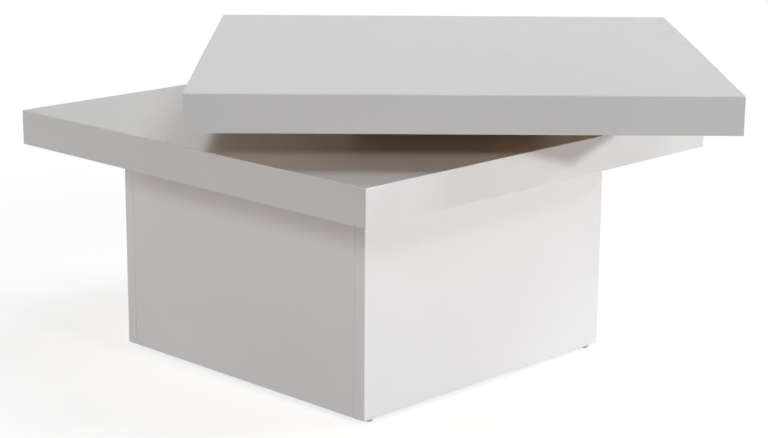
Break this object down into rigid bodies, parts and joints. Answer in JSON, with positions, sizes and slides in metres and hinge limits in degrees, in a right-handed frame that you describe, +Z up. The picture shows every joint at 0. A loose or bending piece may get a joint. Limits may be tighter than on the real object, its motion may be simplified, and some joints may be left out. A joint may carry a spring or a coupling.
{
  "type": "swivel coffee table",
  "caption": "Square white gloss coffee table: a box base carries a fixed slab, and a second slab of the same size turns above it on an offset ball bearing to widen the table.",
  "frame": {"origin": "on the floor under the middle of the box base", "axes": "+Z up; -Y is the front of the base, with the through-running panel, and +X points from the base's middle towards the pivot of the upper slab"},
  "size_m": [0.9899, 0.9899, 0.453],
  "materials": {
    "white_gloss_lacquer": "high-gloss white lacquer foil on board",
    "white_gloss_panel": "high-gloss white lacquer foil on chipboard",
    "raw_underside_board": "raw brown hardboard, matt",
    "chipboard": "raw chipboard",
    "paper_honeycomb": "kraft paper honeycomb",
    "dark_spacer_board": "dark brown through-dyed fibreboard, matt",
    "zinc_plated_steel": "zinc plated",
    "ball_steel": "polished",
    "cage_nylon": "natural nylon",
    "cam_alloy": "die-cast zinc, plain",
    "beech_dowel": "fluted beech",
    "pine_batten": "planed pine",
    "grey_glide_plastic": "grey moulded plastic",
    "insert_brass": "plain"
  },
  "bodies": {
    "base": {"base_front_panel": "white_gloss_panel", "base_back_panel": "white_gloss_panel", "base_left_panel": "white_gloss_panel", "base_right_panel": "white_gloss_panel", "cam_housings": "cam_alloy", "cam_bolts": "zinc_plated_steel", "panel_dowels": "beech_dowel", "top_batten_front": "pine_batten", "top_batten_back": "pine_batten", "batten_slab_screws": "zinc_plated_steel", "batten_side_screws": "zinc_plated_steel", "glides": "grey_glide_plastic", "glide_nails": "zinc_plated_steel", "lower_slab_deck": "white_gloss_lacquer", "lower_slab_underside": "raw_underside_board", "lower_slab_front_rail": "chipboard", "lower_slab_back_rail": "chipboard", "lower_slab_left_rail": "chipboard", "lower_slab_right_rail": "chipboard", "lower_slab_front_band": "white_gloss_lacquer", "lower_slab_back_band": "white_gloss_lacquer", "lower_slab_left_band": "white_gloss_lacquer", "lower_slab_right_band": "white_gloss_lacquer", "lower_slab_front_bar": "chipboard", "lower_slab_back_bar": "chipboard", "lower_slab_swivel_block": "chipboard", "lower_slab_core": "paper_honeycomb", "swivel_spacer": "dark_spacer_board", "spacer_inserts": "insert_brass", "swivel_bolts": "zinc_plated_steel", "swivel_bolt_washers": "zinc_plated_steel", "bearing_lower_plate": "zinc_plated_steel", "spacer_machine_screws": "zinc_plated_steel", "bearing_clinch_nuts": "zinc_plated_steel", "bearing_rivet": "zinc_plated_steel"},
    "bearing_cage": {"bearing_cage": "cage_nylon", "bearing_balls": "ball_steel"},
    "top": {"upper_slab_deck": "white_gloss_lacquer", "upper_slab_underside": "raw_underside_board", "upper_slab_front_rail": "chipboard", "upper_slab_back_rail": "chipboard", "upper_slab_left_rail": "chipboard", "upper_slab_right_rail": "chipboard", "upper_slab_front_band": "white_gloss_lacquer", "upper_slab_back_band": "white_gloss_lacquer", "upper_slab_left_band": "white_gloss_lacquer", "upper_slab_right_band": "white_gloss_lacquer", "upper_slab_swivel_block": "chipboard", "upper_slab_core": "paper_honeycomb", "bearing_upper_plate": "zinc_plated_steel", "bearing_plate_screws": "zinc_plated_steel"}
  },
  "joints": [
    {"name": "top_swivel", "type": "hinge", "parent": "base", "child": "top", "pos_m": [0.178, 0, 0.397], "axis": [0, 0, 1], "continuous": true},
    {"name": "cage_turn", "type": "hinge", "parent": "base", "child": "bearing_cage", "pos_m": [0.178, 0, 0.397], "axis": [0, 0, 1], "continuous": true}
  ],
  "couplings": [
    {"joint": "cage_turn", "follows": "top_swivel", "ratio": 0.5}
  ]
}
